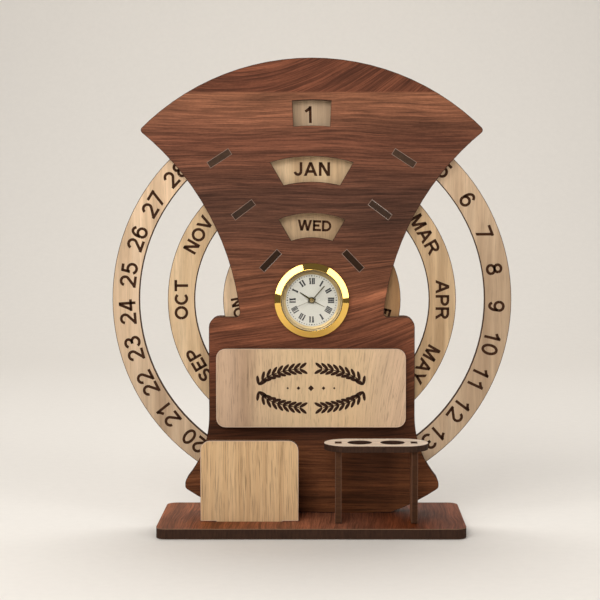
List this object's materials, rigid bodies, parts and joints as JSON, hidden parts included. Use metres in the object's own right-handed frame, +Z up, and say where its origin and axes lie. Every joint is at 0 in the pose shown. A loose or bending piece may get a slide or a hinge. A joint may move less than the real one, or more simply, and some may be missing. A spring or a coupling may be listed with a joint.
{
  "type": "perpetual calendar desk stand with clock",
  "caption": "Wooden desk stand with a fan-shaped panel, three turning calendar rings, a small insert clock, a card pocket and a pen rest.",
  "frame": {"origin": "middle of the base plate's underside", "axes": "+Z up, the front faces -Y, +X to the right seen from the front"},
  "size_m": [0.1982, 0.0628, 0.2307],
  "materials": {
    "walnut_veneer": "satin walnut veneer with laser-charred edges",
    "oak_veneer": "satin oak veneer with laser-charred edges",
    "ash_veneer": "pale satin ash veneer, engraved",
    "charred_board": "matt charred board edge",
    "polished_gold": "polished gold plate",
    "dark_gold": "darkened gold plate",
    "clear_glass": "clear domed lens",
    "dial_enamel": "off-white printed dial",
    "brass": "plain machined brass",
    "nylon": "natural nylon",
    "black_plastic": "black moulded plastic",
    "gripper_rubber": "black rubber",
    "circuit_green": "green circuit board",
    "copper_wire": "copper",
    "nickel_steel": "nickel-plated steel"
  },
  "bodies": {
    "stand": {"base_plate": "walnut_veneer", "front_panel": "walnut_veneer", "rear_panel": "walnut_veneer", "message_plate": "oak_veneer", "card_pocket_front": "oak_veneer", "pen_rest_top": "oak_veneer", "pen_rest_leg_left": "oak_veneer", "pen_rest_leg_right": "oak_veneer", "date_peg_left": "charred_board", "date_peg_right": "charred_board", "month_peg_left": "charred_board", "month_peg_right": "charred_board", "day_peg_left": "charred_board", "day_peg_right": "charred_board", "clock_bezel": "polished_gold", "reflector_ring": "polished_gold", "clock_lens": "clear_glass", "clock_dial": "dial_enamel", "movement_ring": "nylon", "main_plate": "nylon", "train_housing": "nylon", "circuit_board": "circuit_green", "drive_coil": "copper_wire", "battery": "nickel_steel", "battery_contact": "copper_wire", "buzzer_disc": "nickel_steel", "clock_case": "black_plastic", "gripper_ring": "gripper_rubber", "back_cover": "black_plastic"},
    "date_wheel": {"date_ring": "ash_veneer"},
    "month_wheel": {"month_ring": "ash_veneer"},
    "day_wheel": {"day_ring": "ash_veneer"},
    "minute_set": {"minute_hand": "dark_gold", "cannon_pinion": "brass"},
    "hour_set": {"hour_hand": "dark_gold", "hour_wheel": "brass"},
    "second_set": {"second_hand": "polished_gold", "second_arbor": "brass"},
    "alarm_set": {"alarm_hand": "polished_gold", "alarm_wheel": "nylon"},
    "time_setting": {"minute_wheel": "brass", "time_knob": "black_plastic"},
    "alarm_setting": {"alarm_setting_wheel": "nylon", "alarm_knob": "black_plastic"},
    "hatch": {"battery_hatch": "black_plastic"}
  },
  "joints": [
    {"name": "date_turn", "type": "hinge", "parent": "stand", "child": "date_wheel", "pos_m": [0, 0.0106, 0.1111], "axis": [0, 1, 0], "continuous": true},
    {"name": "month_turn", "type": "hinge", "parent": "stand", "child": "month_wheel", "pos_m": [0, 0.0106, 0.1111], "axis": [0, 1, 0], "continuous": true},
    {"name": "day_turn", "type": "hinge", "parent": "stand", "child": "day_wheel", "pos_m": [0, 0.0106, 0.1111], "axis": [0, 1, 0], "continuous": true},
    {"name": "minute_turn", "type": "hinge", "parent": "stand", "child": "minute_set", "pos_m": [0, 0.0056, 0.1111], "axis": [0, 1, 0], "continuous": true},
    {"name": "hour_turn", "type": "hinge", "parent": "stand", "child": "hour_set", "pos_m": [0, 0.0056, 0.1111], "axis": [0, 1, 0], "continuous": true},
    {"name": "second_turn", "type": "hinge", "parent": "stand", "child": "second_set", "pos_m": [0, 0.0056, 0.1111], "axis": [0, 1, 0], "continuous": true},
    {"name": "alarm_turn", "type": "hinge", "parent": "stand", "child": "alarm_set", "pos_m": [0, 0.0056, 0.1111], "axis": [0, 1, 0], "continuous": true},
    {"name": "time_setting_turn", "type": "hinge", "parent": "stand", "child": "time_setting", "pos_m": [0.00368, 0.0136, 0.11418], "axis": [0, 1, 0], "continuous": true},
    {"name": "alarm_setting_turn", "type": "hinge", "parent": "stand", "child": "alarm_setting", "pos_m": [-0.00414, 0.0136, 0.11457], "axis": [0, 1, 0], "continuous": true},
    {"name": "hatch_turn", "type": "hinge", "parent": "stand", "child": "hatch", "pos_m": [0, 0.0176, 0.1028], "axis": [0, 1, 0], "range_deg": [0, 60]}
  ],
  "couplings": [
    {"joint": "hour_turn", "follows": "minute_turn", "ratio": 0.083333},
    {"joint": "time_setting_turn", "follows": "minute_turn", "ratio": -0.33333},
    {"joint": "alarm_setting_turn", "follows": "alarm_turn", "ratio": -2}
  ]
}
